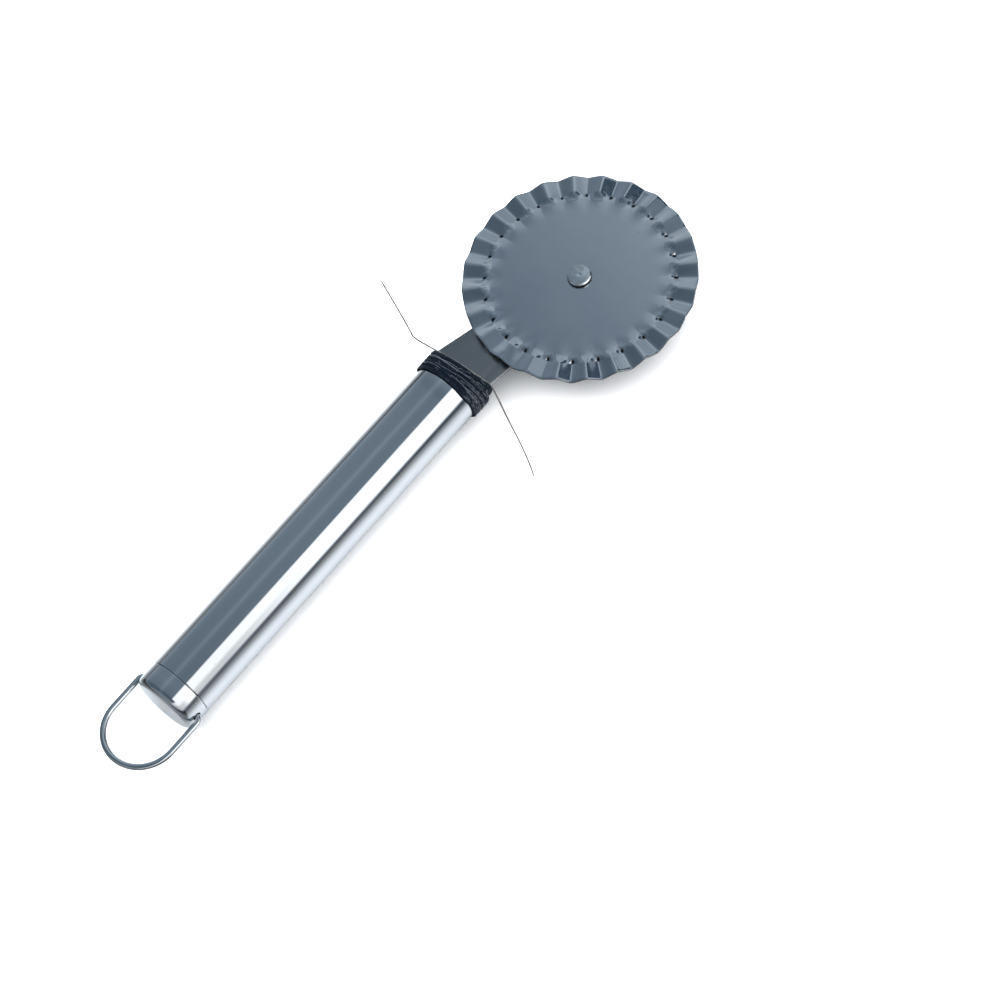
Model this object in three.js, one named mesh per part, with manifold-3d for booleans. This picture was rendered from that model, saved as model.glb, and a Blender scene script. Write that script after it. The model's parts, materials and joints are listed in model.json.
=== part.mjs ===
// Pastry cutter wheel: a fluted steel disc that spins on a rivet at the end of a flat steel arm.
// The arm's tang is held in a polished tube handle, whose neck is bound with black cord.
// Millimetres. X runs along the handle towards the wheel, +Z is the side of the rivet's head.
// The origin is the centre of the flat end face of the handle.
import * as THREE from 'three';
import { mergeVertices } from 'three/addons/utils/BufferGeometryUtils.js';
import Module from 'manifold-3d';

const wasm = await Module();
wasm.setup();

// Handle
const TUBE_RADIUS = 9.5;
const TUBE_WALL = 0.6;
const TUBE_START = 7.1;
const MOUTH = 122;
const FIT_GAP = 0.3;

// Tail cap and hanging loop
const CAP_LENGTH = 7;
const CAP_EDGE = 2;
const CAP_SPIGOT_DEPTH = 12;
const CAP_SPIGOT_WALL = 1.2;
const CAP_END_THICKNESS = 5.6;
const LOOP_WIRE_RADIUS = 0.9;
const LOOP_PIVOT = 3.5;
const LOOP_HALF_WIDTH = TUBE_RADIUS + FIT_GAP + LOOP_WIRE_RADIUS;
const LOOP_STRAIGHT = 8;
const LOOP_CORNER = 1.6;
const LOOP_HOOK_END = 6.9;
const LOOP_HOLE_DEPTH = 3;

// Arm
const ARM_THICKNESS = 1.5;
const ARM_START = 122.4;
const ARM_BASE_TOP = 11.4;
const ARM_BASE_BOTTOM = -8.2;
const ARM_TOP_CORNER = 2.6;
const ARM_BOTTOM_CORNER = 1.5;
const ARM_END_RADIUS = 6.4;
const TANG_WIDTH = 12;
const TANG_LENGTH = 34;

// Wheel and its axle
const HUB = new THREE.Vector2(165, -8.2);
const WHEEL_RADIUS = 33;
const WHEEL_SHEET = 0.5;
const WHEEL_HEIGHT = 2.75;
const FLUTES = 24;
const FLUTE_DEPTH = 1.5;
const FLUTE_START = 25.4;
const FLUTE_FULL = 27.4;
const FLUTE_SHARPNESS = 0.97;
const FLUTE_PHASE = THREE.MathUtils.degToRad(12.8);
const PIN_RADIUS = 1.6;
const RUNNING_CLEARANCE = 0.09;
const STACK_GAP = 0.1;
const RIVET_HEAD_RADIUS = 3.4;
const RIVET_HEAD_HEIGHT = 1.2;
const RIVET_TAIL_RADIUS = 3;
const RIVET_TAIL_HEIGHT = 1.2;
const REAR_WASHER_RADIUS = 4.2;
const REAR_WASHER_THICKNESS = 0.8;
const SPACER_RADIUS = 4.5;

// Cord winding on the neck
const CORD_RADIUS = 0.42;
const CORD_PITCH = 1.35;
const CORD_TURNS = 4.27;
const CORD_GAP = 0.1;
const CORD_START = HUB.x - 48.75;
const CORD_LAST_RISE = 1.4;

// Tie wire across the neck
const WIRE_RADIUS = 0.24;
const WIRE_HEIGHT = ARM_THICKNESS / 2 + FIT_GAP + WIRE_RADIUS;

const STEEL = { color: 0xb9c0c6, roughness: 0.18, metalness: 1 };
const MATT_STEEL = { color: 0x6f777d, roughness: 0.4, metalness: 1 };
const BLACK_CORD = { color: 0x1a1e26, roughness: 0.9, metalness: 0 };
const BLACK_PLASTIC = { color: 0x202225, roughness: 0.5, metalness: 0 };
const WIRE_STEEL = { color: 0x5f605a, roughness: 0.45, metalness: 1 };

// A profile of [radius, height] pairs turned about Y.
function turned(profile, segments) {
  const points = profile.map(([radius, height]) => new THREE.Vector2(radius, height));
  return new THREE.LatheGeometry(points, segments);
}

// A closed ring profile turned about Y.
function ring(inner, outer, low, high, segments) {
  return turned([[inner, low], [outer, low], [outer, high], [inner, high], [inner, low]], segments);
}

function alongX(geometry) {
  return geometry.rotateZ(-Math.PI / 2);
}

function alongZ(geometry) {
  return geometry.rotateX(Math.PI / 2);
}

function solidOf(geometry) {
  const bare = geometry.index ? geometry.toNonIndexed() : geometry.clone();
  bare.deleteAttribute('normal');
  bare.deleteAttribute('uv');
  const merged = mergeVertices(bare, 1e-4);
  return new wasm.Manifold(new wasm.Mesh({
    numProp: 3,
    vertProperties: new Float32Array(merged.attributes.position.array),
    triVerts: new Uint32Array(merged.index.array),
  }));
}

function geometryOf(solid) {
  const mesh = solid.getMesh();
  const geometry = new THREE.BufferGeometry();
  geometry.setAttribute('position', new THREE.BufferAttribute(new Float32Array(mesh.vertProperties), 3));
  geometry.setIndex(new THREE.BufferAttribute(new Uint32Array(mesh.triVerts), 1));
  geometry.computeVertexNormals();
  return geometry;
}

function cut(geometry, ...tools) {
  let solid = solidOf(geometry);
  for (const tool of tools) {
    solid = solid.subtract(solidOf(tool));
  }
  return geometryOf(solid);
}

function roundSection(radius, sides) {
  const shape = new THREE.Shape();
  for (let i = 0; i < sides; i += 1) {
    const angle = (i / sides) * 2 * Math.PI;
    const x = radius * Math.cos(angle);
    const y = radius * Math.sin(angle);
    if (i === 0) {
      shape.moveTo(x, y);
    } else {
      shape.lineTo(x, y);
    }
  }
  shape.closePath();
  return shape;
}

// A round wire or cord of the given radius along a curve.
function wireAlong(curve, radius, steps, sides) {
  return new THREE.ExtrudeGeometry(roundSection(radius, sides), { steps, extrudePath: curve });
}

// 1 on the fluted rim, 0 on the flat disc, with an S-shaped step between them.
function fluteRamp(radius) {
  return THREE.MathUtils.smoothstep(radius, FLUTE_START, FLUTE_FULL);
}

// A triangle wave with softly rounded crests, from -1 to 1, one period per flute.
function fluteWave(angle) {
  return Math.asin(FLUTE_SHARPNESS * Math.cos(FLUTES * angle)) / Math.asin(FLUTE_SHARPNESS);
}

function makeCutterWheel() {
  const stepsPerFlute = 8;
  const steps = FLUTES * stepsPerFlute;
  const bore = PIN_RADIUS + RUNNING_CLEARANCE;
  const middle = (FLUTE_START + FLUTE_FULL) / 2;
  const radii = [bore, FLUTE_START, middle, FLUTE_FULL, WHEEL_RADIUS];
  const section = [
    ...radii.map((radius) => [radius, WHEEL_SHEET / 2]),
    ...radii.toReversed().map((radius) => [radius, -WHEEL_SHEET / 2]),
  ];
  const positions = [];
  const indices = [];
  for (let step = 0; step < steps; step += 1) {
    const angle = (step / steps) * 2 * Math.PI;
    for (const [radius, offset] of section) {
      const wave = (FLUTE_DEPTH / 2) * fluteRamp(radius) * fluteWave(angle);
      positions.push(radius * Math.cos(angle), radius * Math.sin(angle), offset + wave);
    }
  }
  for (let step = 0; step < steps; step += 1) {
    const here = step * section.length;
    const next = ((step + 1) % steps) * section.length;
    for (let i = 0; i < section.length; i += 1) {
      const j = (i + 1) % section.length;
      indices.push(here + i, here + j, next + j);
      indices.push(here + i, next + j, next + i);
    }
  }
  const geometry = new THREE.BufferGeometry();
  geometry.setAttribute('position', new THREE.Float32BufferAttribute(positions, 3));
  geometry.setIndex(indices);
  geometry.computeVertexNormals();
  return geometry;
}

// One piece: flat head in front of the wheel, pin, and the head formed behind the rear washer.
function makeAxleRivet() {
  const headLow = WHEEL_HEIGHT + WHEEL_SHEET / 2 + STACK_GAP;
  const headTop = headLow + RIVET_HEAD_HEIGHT;
  const tailTop = -ARM_THICKNESS / 2 - REAR_WASHER_THICKNESS - 2 * STACK_GAP;
  const tailLow = tailTop - RIVET_TAIL_HEIGHT;
  const edge = 0.25;
  return alongZ(turned([
    [0, tailLow],
    [RIVET_TAIL_RADIUS * 0.6, tailLow + 0.1],
    [RIVET_TAIL_RADIUS * 0.9, tailLow + 0.5],
    [RIVET_TAIL_RADIUS, tailTop],
    [PIN_RADIUS, tailTop],
    [PIN_RADIUS, headLow],
    [RIVET_HEAD_RADIUS, headLow],
    [RIVET_HEAD_RADIUS, headTop - edge],
    [RIVET_HEAD_RADIUS - edge, headTop],
    [0, headTop],
  ], 32).rotateY(Math.PI));
}

// Keeps the flutes clear of the arm.
function makeSpacerWasher() {
  const low = ARM_THICKNESS / 2 + STACK_GAP;
  const high = WHEEL_HEIGHT - WHEEL_SHEET / 2 - STACK_GAP;
  return alongZ(ring(PIN_RADIUS + RUNNING_CLEARANCE, SPACER_RADIUS, low, high, 32));
}

function makeRearWasher() {
  const high = -ARM_THICKNESS / 2 - STACK_GAP;
  const low = high - REAR_WASHER_THICKNESS;
  return alongZ(ring(PIN_RADIUS + RUNNING_CLEARANCE, REAR_WASHER_RADIUS, low, high, 32));
}

// The point where the line from a corner touches the arm's round end.
function tangentPoint(corner, side) {
  const reach = new THREE.Vector2().subVectors(corner, HUB);
  const spread = Math.acos(ARM_END_RADIUS / reach.length());
  const angle = reach.angle() - side * spread;
  const point = new THREE.Vector2(Math.cos(angle), Math.sin(angle)).multiplyScalar(ARM_END_RADIUS);
  return { angle, point: point.add(HUB) };
}

// Sheet steel: a tapered arm that leans to one side of the handle, with a straight tang behind it.
function makeArmPlate() {
  const topCorner = new THREE.Vector2(ARM_START, ARM_BASE_TOP);
  const bottomCorner = new THREE.Vector2(ARM_START, ARM_BASE_BOTTOM);
  const top = tangentPoint(topCorner, 1);
  const bottom = tangentPoint(bottomCorner, -1);
  const towards = (from, to, length) => from.clone().add(to.clone().sub(from).setLength(length));
  const topRise = towards(topCorner, top.point, ARM_TOP_CORNER);
  const bottomRise = towards(bottomCorner, bottom.point, ARM_BOTTOM_CORNER);
  const shape = new THREE.Shape();
  shape.moveTo(ARM_START - TANG_LENGTH, -TANG_WIDTH / 2);
  shape.lineTo(ARM_START, -TANG_WIDTH / 2);
  shape.lineTo(ARM_START, ARM_BASE_BOTTOM + ARM_BOTTOM_CORNER);
  shape.quadraticCurveTo(ARM_START, ARM_BASE_BOTTOM, bottomRise.x, bottomRise.y);
  shape.lineTo(bottom.point.x, bottom.point.y);
  shape.absarc(HUB.x, HUB.y, ARM_END_RADIUS, bottom.angle, top.angle, false);
  shape.lineTo(topRise.x, topRise.y);
  shape.quadraticCurveTo(ARM_START, ARM_BASE_TOP, ARM_START, ARM_BASE_TOP - ARM_TOP_CORNER);
  shape.lineTo(ARM_START, TANG_WIDTH / 2);
  shape.lineTo(ARM_START - TANG_LENGTH, TANG_WIDTH / 2);
  shape.closePath();
  const hole = new THREE.Path();
  hole.absarc(HUB.x, HUB.y, PIN_RADIUS + RUNNING_CLEARANCE, 0, 2 * Math.PI, true);
  shape.holes.push(hole);
  const plate = new THREE.ExtrudeGeometry(shape, {
    depth: ARM_THICKNESS,
    bevelEnabled: false,
    curveSegments: 16,
  });
  return plate.translate(0, 0, -ARM_THICKNESS / 2);
}

// Moulded core that fills the mouth of the tube and grips the tang in a slot.
function makeNeckCore() {
  const radius = TUBE_RADIUS - TUBE_WALL - FIT_GAP;
  const face = MOUTH - FIT_GAP;
  const back = ARM_START - TANG_LENGTH - 6;
  const body = alongX(turned([[0, back], [radius, back], [radius, face], [0, face]], 48));
  const slotBack = ARM_START - TANG_LENGTH - FIT_GAP;
  const slotLength = face + 1 - slotBack;
  const slot = new THREE.BoxGeometry(slotLength, TANG_WIDTH + 2 * FIT_GAP, ARM_THICKNESS + 2 * FIT_GAP);
  slot.translate(slotBack + slotLength / 2, 0, 0);
  return cut(body, slot);
}

function makeHandleTube() {
  return alongX(ring(TUBE_RADIUS - TUBE_WALL, TUBE_RADIUS, TUBE_START, MOUTH, 64));
}

// Closes the tube's end: a hollow spigot inside the tube, and a collar with two side holes for the loop.
function makeTailCap() {
  const spigotRadius = TUBE_RADIUS - TUBE_WALL - FIT_GAP;
  const profile = [[0, 0]];
  const edgeSteps = 5;
  for (let i = 0; i <= edgeSteps; i += 1) {
    const angle = (i / edgeSteps) * (Math.PI / 2);
    profile.push([
      TUBE_RADIUS - CAP_EDGE + CAP_EDGE * Math.sin(angle),
      CAP_EDGE - CAP_EDGE * Math.cos(angle),
    ]);
  }
  profile.push([TUBE_RADIUS, CAP_LENGTH]);
  profile.push([spigotRadius, CAP_LENGTH]);
  profile.push([spigotRadius, CAP_LENGTH + CAP_SPIGOT_DEPTH]);
  profile.push([spigotRadius - CAP_SPIGOT_WALL, CAP_LENGTH + CAP_SPIGOT_DEPTH]);
  profile.push([spigotRadius - CAP_SPIGOT_WALL, CAP_END_THICKNESS]);
  profile.push([0, CAP_END_THICKNESS]);
  const body = alongX(turned(profile, 64));
  const holeLength = LOOP_HOLE_DEPTH + 1;
  const holeCentre = TUBE_RADIUS - LOOP_HOLE_DEPTH + holeLength / 2;
  const holes = [-1, 1].map((side) => {
    const radius = LOOP_WIRE_RADIUS + FIT_GAP;
    const hole = new THREE.CylinderGeometry(radius, radius, holeLength, 24);
    return hole.translate(LOOP_PIVOT, side * holeCentre, 0);
  });
  return cut(body, ...holes);
}

// Bent wire: its two hooks turn in the cap's side holes.
function makeHangLoop() {
  const flat = (x, y) => new THREE.Vector3(x, y, 0);
  const bow = (centreX, centreY, radius, from, to) => {
    const steps = Math.max(3, Math.round(radius * Math.abs(to - from)));
    return Array.from({ length: steps + 1 }, (_, i) => {
      const angle = from + ((to - from) * i) / steps;
      return flat(centreX + radius * Math.cos(angle), centreY + radius * Math.sin(angle));
    });
  };
  const corner = LOOP_HALF_WIDTH - LOOP_CORNER;
  const points = [
    flat(LOOP_PIVOT, LOOP_HOOK_END),
    ...bow(LOOP_PIVOT - LOOP_CORNER, corner, LOOP_CORNER, 0, Math.PI / 2),
    ...bow(-LOOP_STRAIGHT, 0, LOOP_HALF_WIDTH, Math.PI / 2, 1.5 * Math.PI),
    ...bow(LOOP_PIVOT - LOOP_CORNER, -corner, LOOP_CORNER, -Math.PI / 2, 0),
    flat(LOOP_PIVOT, -LOOP_HOOK_END),
  ];
  return wireAlong(new THREE.CatmullRomCurve3(points, false, 'centripetal'), LOOP_WIRE_RADIUS, 72, 10);
}

// A helix of cord round the tube's mouth, whose last half turn climbs towards the arm.
class NeckHelix extends THREE.Curve {
  getPoint(t, target = new THREE.Vector3()) {
    const turn = t * CORD_TURNS;
    const angle = turn * 2 * Math.PI;
    const radius = TUBE_RADIUS + CORD_GAP + CORD_RADIUS;
    const climb = THREE.MathUtils.smoothstep(turn, CORD_TURNS - 0.55, CORD_TURNS);
    return target.set(
      CORD_START + turn * CORD_PITCH + climb * CORD_LAST_RISE,
      -radius * Math.sin(angle),
      radius * Math.cos(angle),
    );
  }
}

function makeCordWinding() {
  return wireAlong(new NeckHelix(), CORD_RADIUS, Math.round(CORD_TURNS * 30), 8);
}

// Thin wire laid across the arm above the cord, with one bent and one curved free end.
function makeTieWire() {
  const route = [
    [-32.3, 38.8],
    [-36.1, 29.6],
    [-40.2, 20.2],
    [-41, 18.4],
    [-40.7, 11],
    [-40.2, 5],
    [-40, -2],
    [-40.3, -9.4],
    [-41.7, -12.7],
    [-45.3, -19.7],
    [-49.7, -28.6],
    [-53.1, -34.6],
    [-55.3, -37.9],
  ];
  const points = route.map(([x, y]) => new THREE.Vector3(HUB.x + x, y, WIRE_HEIGHT));
  return wireAlong(new THREE.CatmullRomCurve3(points, false, 'centripetal'), WIRE_RADIUS, 64, 6);
}

function piece(name, geometry, finish) {
  const mesh = new THREE.Mesh(geometry, new THREE.MeshStandardMaterial(finish));
  mesh.name = name;
  return mesh;
}

const cutter = new THREE.Group();

const handle = new THREE.Group();
handle.add(piece('handle_tube', makeHandleTube(), STEEL));
handle.add(piece('tail_cap', makeTailCap(), STEEL));
handle.add(piece('neck_core', makeNeckCore(), BLACK_PLASTIC));
handle.add(piece('arm_plate', makeArmPlate(), MATT_STEEL));
handle.add(piece('cord_winding', makeCordWinding(), BLACK_CORD));
handle.add(piece('tie_wire', makeTieWire(), WIRE_STEEL));
cutter.add(handle);

cutter.add(piece('hang_loop', makeHangLoop(), STEEL));

const axle = new THREE.Group();
axle.position.set(HUB.x, HUB.y, 0);
axle.add(piece('axle_rivet', makeAxleRivet(), STEEL));
axle.add(piece('spacer_washer', makeSpacerWasher(), STEEL));
axle.add(piece('rear_washer', makeRearWasher(), STEEL));
const wheel = piece('cutter_wheel', makeCutterWheel(), MATT_STEEL);
wheel.position.z = WHEEL_HEIGHT;
wheel.rotation.z = FLUTE_PHASE;
axle.add(wheel);
cutter.add(axle);

export default cutter;
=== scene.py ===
"""Pastry cutter wheel: the looks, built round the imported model. Metres, in the model's own axes.

X runs along the handle to the wheel, and +Z is the side of the rivet's flat head.
"""
import json
import math
import random

import bmesh
import bpy
import numpy as np
from mathutils import Matrix, Vector, noise


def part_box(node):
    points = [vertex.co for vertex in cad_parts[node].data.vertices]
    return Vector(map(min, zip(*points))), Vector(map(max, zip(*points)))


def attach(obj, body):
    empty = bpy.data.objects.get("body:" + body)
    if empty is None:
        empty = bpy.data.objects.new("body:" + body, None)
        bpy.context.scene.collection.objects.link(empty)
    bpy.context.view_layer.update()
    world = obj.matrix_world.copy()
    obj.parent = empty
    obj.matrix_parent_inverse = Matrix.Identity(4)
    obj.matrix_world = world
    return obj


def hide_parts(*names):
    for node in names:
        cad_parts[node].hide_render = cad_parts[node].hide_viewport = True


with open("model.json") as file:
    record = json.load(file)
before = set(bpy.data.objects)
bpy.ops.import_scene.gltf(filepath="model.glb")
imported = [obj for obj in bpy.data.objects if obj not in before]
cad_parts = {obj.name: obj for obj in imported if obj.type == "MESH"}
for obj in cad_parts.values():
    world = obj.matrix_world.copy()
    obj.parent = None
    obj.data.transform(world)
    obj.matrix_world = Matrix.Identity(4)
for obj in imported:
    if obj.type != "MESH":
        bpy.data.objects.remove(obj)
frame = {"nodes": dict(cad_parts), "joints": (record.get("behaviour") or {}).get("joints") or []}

MM = 0.001
scene = bpy.context.scene
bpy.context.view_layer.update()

# ---------------------------------------------------------------- sizes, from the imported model
joints = {joint["name"]: joint for joint in frame["joints"]}
HUB = Vector(joints["wheel_spin"]["pos_m"])
tube_low, tube_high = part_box("handle_tube")
cap_low, cap_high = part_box("tail_cap")
arm_low, arm_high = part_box("arm_plate")
wheel_low, wheel_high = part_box("cutter_wheel")
rivet_low, rivet_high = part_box("axle_rivet")
spacer_low, spacer_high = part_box("spacer_washer")
washer_low, washer_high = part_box("rear_washer")
cord_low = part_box("cord_winding")[0]
wire_low, wire_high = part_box("tie_wire")
loop_low, loop_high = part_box("hang_loop")

TUBE_RADIUS = tube_high.z
WHEEL_RADIUS = (wheel_high.x - wheel_low.x) / 2
PIN_RADIUS = 1.6 * MM
BORE_RADIUS = PIN_RADIUS + 0.09 * MM
RIVET_HEAD_RADIUS = 3.4 * MM
RIVET_HEAD_HEIGHT = 1.2 * MM


# ---------------------------------------------------------------- meshes
def mesh_object(name, vertices, faces, sharp=35):
    """A smooth-shaded mesh whose edges over `sharp` degrees stay crisp."""
    mesh = bpy.data.meshes.new(name)
    mesh.from_pydata([tuple(v) for v in vertices], [], [tuple(f) for f in faces])
    mesh.validate()
    for polygon in mesh.polygons:
        polygon.use_smooth = True
    mesh.set_sharp_from_angle(angle=math.radians(sharp))
    piece = bpy.data.objects.new(name, mesh)
    scene.collection.objects.link(piece)
    return piece


def add_piece(piece, body, materials, slot, *nodes):
    """Puts materials on a piece, hangs it on its body and hides the imported parts it replaces."""
    piece.data.materials.clear()
    for each in materials if isinstance(materials, tuple) else (materials,):
        piece.data.materials.append(each)
    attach(piece, body)
    if nodes:
        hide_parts(*nodes)
    return piece


def rounded(corners, closed=False, steps=6):
    """A 2-D outline from (u, v, radius) corners, each with a round of that radius."""
    points = []
    count = len(corners)
    for i, (u, v, radius) in enumerate(corners):
        here = Vector((u, v))
        at_end = not closed and i in (0, count - 1)
        if radius <= 0 or at_end:
            points.append(here)
            continue
        before = (Vector(corners[i - 1][:2]) - here).normalized()
        after = (Vector(corners[(i + 1) % count][:2]) - here).normalized()
        half = before.angle(after) / 2
        centre = here + (before + after).normalized() * radius / math.sin(half)
        start = here + before * radius / math.tan(half) - centre
        end = here + after * radius / math.tan(half) - centre
        turn = start.angle_signed(end)
        for k in range(steps + 1):
            points.append(centre + Matrix.Rotation(-turn * k / steps, 2) @ start)
    return points


def revolve(outline, steps, place):
    """Vertices and faces of an outline of (height, radius) points turned about its axis.

    `place(height, radius, angle)` gives the point. An outline that starts or ends on the axis
    closes there; one that doesn't is a ring, and closes on itself.
    """
    on_axis = outline[0][1] < 1e-9 and outline[-1][1] < 1e-9
    inner = outline[1:-1] if on_axis else outline
    rows = len(inner)
    vertices = []
    for k in range(steps):
        angle = 2 * math.pi * k / steps
        vertices += [place(h, r, angle) for h, r in inner]
    faces = []
    for k in range(steps):
        a, b = k * rows, (k + 1) % steps * rows
        last = rows - 1 if on_axis else rows
        for i in range(last):
            j = (i + 1) % rows
            faces.append((a + i, a + j, b + j, b + i))
    if on_axis:
        first = len(vertices)
        vertices += [place(outline[0][0], 0, 0), place(outline[-1][0], 0, 0)]
        for k in range(steps):
            a, b = k * rows, (k + 1) % steps * rows
            faces.append((first, a, b))
            faces.append((first + 1, b + rows - 1, a + rows - 1))
    return vertices, faces


def about_x(height, radius, angle):
    return (height, radius * math.cos(angle), radius * math.sin(angle))


def about_hub(height, radius, angle):
    return (HUB.x + radius * math.cos(angle), HUB.y + radius * math.sin(angle), height)


def outward(piece):
    """Turns all faces of a closed mesh outwards."""
    shape = bmesh.new()
    shape.from_mesh(piece.data)
    bmesh.ops.recalc_face_normals(shape, faces=shape.faces)
    shape.to_mesh(piece.data)
    shape.free()
    return piece


def turned(name, corners, steps, place, closed=False):
    outline = [(p.x, p.y) for p in rounded(corners, closed)]
    vertices, faces = revolve(outline, steps, place)
    return outward(mesh_object(name, vertices, faces))


def frames_along(points):
    """Unit tangents and two cross directions along a line, without twist."""
    points = np.asarray(points, float)
    tangents = np.gradient(points, axis=0)
    tangents /= np.linalg.norm(tangents, axis=1)[:, None]
    side = np.cross(tangents[0], (0.0, 0.0, 1.0))
    if np.linalg.norm(side) < 1e-3:
        side = np.cross(tangents[0], (0.0, 1.0, 0.0))
    sides = np.empty_like(points)
    for i, tangent in enumerate(tangents):
        side = side - tangent * (side @ tangent)
        side /= np.linalg.norm(side)
        sides[i] = side
    return tangents, sides, np.cross(tangents, sides)


def sweep(points, radii, sides, tip=0.6):
    """Vertices and faces of a round rod along points, with softly rounded ends."""
    points = np.asarray(points, float)
    radii = np.broadcast_to(np.asarray(radii, float), len(points)).copy()
    tangents, across, up = frames_along(points)
    start, end = points[0], points[-1]
    caps = [(math.sin(a), math.cos(a)) for a in (1.35, 0.95, 0.5)]
    head = [(start - tangents[0] * radii[0] * tip * s, radii[0] * c) for s, c in caps]
    tail = [(end + tangents[-1] * radii[-1] * tip * s, radii[-1] * c) for s, c in reversed(caps)]
    centres = np.array([c for c, _ in head] + list(points) + [c for c, _ in tail])
    sizes = np.array([r for _, r in head] + list(radii) + [r for _, r in tail])
    across = np.concatenate([across[:1]] * 3 + [across] + [across[-1:]] * 3)
    up = np.concatenate([up[:1]] * 3 + [up] + [up[-1:]] * 3)
    angles = np.arange(sides) * 2 * math.pi / sides
    around = np.cos(angles)[None, :, None] * across[:, None] + np.sin(angles)[None, :, None] * up[:, None]
    vertices = (centres[:, None] + around * sizes[:, None, None]).reshape(-1, 3).tolist()
    faces = []
    rows = len(centres)
    for i in range(rows - 1):
        for k in range(sides):
            j = (k + 1) % sides
            faces.append((i * sides + k, i * sides + j, (i + 1) * sides + j, (i + 1) * sides + k))
    faces.append(tuple(reversed(range(sides))))
    faces.append(tuple((rows - 1) * sides + k for k in range(sides)))
    return vertices, faces


def catmull_rom(controls, spacing):
    """A centripetal Catmull-Rom line through the control points, sampled every `spacing`."""
    controls = [Vector(c) for c in controls]
    knots = [controls[0] * 2 - controls[1]] + controls + [controls[-1] * 2 - controls[-2]]
    line = []
    for i in range(1, len(knots) - 2):
        a, b, c, d = knots[i - 1:i + 3]
        t0 = 0.0
        t1 = t0 + (b - a).length ** 0.5
        t2 = t1 + (c - b).length ** 0.5
        t3 = t2 + (d - c).length ** 0.5
        steps = max(2, math.ceil((c - b).length / spacing))
        for k in range(steps):
            t = t1 + (t2 - t1) * k / steps
            p = a * ((t1 - t) / (t1 - t0)) + b * ((t - t0) / (t1 - t0))
            q = b * ((t2 - t) / (t2 - t1)) + c * ((t - t1) / (t2 - t1))
            r = c * ((t3 - t) / (t3 - t2)) + d * ((t - t2) / (t3 - t2))
            u = p * ((t2 - t) / (t2 - t0)) + q * ((t - t0) / (t2 - t0))
            w = q * ((t3 - t) / (t3 - t1)) + r * ((t - t1) / (t3 - t1))
            line.append(u * ((t2 - t) / (t2 - t1)) + w * ((t - t1) / (t2 - t1)))
    line.append(controls[-1])
    return line


def joined(parts):
    """One list of vertices and one of faces from several."""
    vertices, faces = [], []
    for some_vertices, some_faces in parts:
        base = len(vertices)
        vertices += list(some_vertices)
        faces += [tuple(i + base for i in face) for face in some_faces]
    return vertices, faces


def smoothstep(value, low, high):
    t = np.clip((value - low) / (high - low), 0, 1)
    return t * t * (3 - 2 * t)


# ---------------------------------------------------------------- shader nodes
class Graph:
    """Short ways to add nodes to one tree and link them."""

    def __init__(self, tree):
        self.tree = tree
        tree.nodes.clear()

    def add(self, kind, inputs=None, **settings):
        node = self.tree.nodes.new(kind)
        for key, value in settings.items():
            setattr(node, key, value)
        for key, value in (inputs or {}).items():
            self.put(node.inputs[key], value)
        return node

    def put(self, socket, value):
        if isinstance(value, bpy.types.NodeSocket):
            self.tree.links.new(value, socket)
        else:
            socket.default_value = value

    def math(self, operation, *values):
        return self.add("ShaderNodeMath", dict(enumerate(values)), operation=operation).outputs[0]

    def step(self, value, low, high, kind="SMOOTHSTEP", out_low=0.0, out_high=1.0):
        inputs = {"Value": value, "From Min": low, "From Max": high, "To Min": out_low, "To Max": out_high}
        return self.add("ShaderNodeMapRange", inputs, interpolation_type=kind).outputs["Result"]

    def ramp(self, value, stops):
        node = self.add("ShaderNodeValToRGB", {"Fac": value})
        elements = node.color_ramp.elements
        while len(elements) < len(stops):
            elements.new(0.5)
        for element, (position, colour) in zip(elements, stops):
            element.position = position
            if isinstance(colour, (int, float)):
                colour = (colour, colour, colour)
            element.color = (*colour, 1)
        return node.outputs["Color"]

    def mix(self, factor, a, b, blend="MIX"):
        node = self.add("ShaderNodeMix", data_type="RGBA", blend_type=blend)
        self.put(node.inputs[0], factor)
        for socket, value in ((node.inputs[6], a), (node.inputs[7], b)):
            self.put(socket, value if isinstance(value, bpy.types.NodeSocket) else (*value, 1))
        return node.outputs[2]

    def noise(self, vector, scale, detail=2.0, roughness=0.5):
        inputs = {"Vector": vector, "Scale": scale, "Detail": detail, "Roughness": roughness}
        return self.add("ShaderNodeTexNoise", inputs).outputs["Fac"]

    def stretched(self, vector, scale):
        """The coordinate scaled by a different number on each axis."""
        return self.add("ShaderNodeMapping", {"Vector": vector, "Scale": scale}).outputs["Vector"]


def material(name, preview, build, **fixed):
    """A material with one Principled shader. `build(graph, shader, place)` adds what varies."""
    made = bpy.data.materials.new(name)
    made.use_nodes = True
    made.diffuse_color = (*preview, 1)
    graph = Graph(made.node_tree)
    shader = graph.add("ShaderNodeBsdfPrincipled")
    output = graph.add("ShaderNodeOutputMaterial")
    graph.put(output.inputs["Surface"], shader.outputs["BSDF"])
    for key, value in fixed.items():
        shader.inputs[key.replace("_", " ")].default_value = value
    place = graph.add("ShaderNodeTexCoord").outputs["Object"]
    build(graph, shader, place)
    return made


def bumped(graph, shader, height, distance, strength=1.0, under=None):
    inputs = {"Height": height, "Distance": distance, "Strength": strength}
    if under is not None:
        inputs["Normal"] = under
    bump = graph.add("ShaderNodeBump", inputs)
    graph.put(shader.inputs["Normal"], bump.outputs["Normal"])
    return bump.outputs["Normal"]


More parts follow.
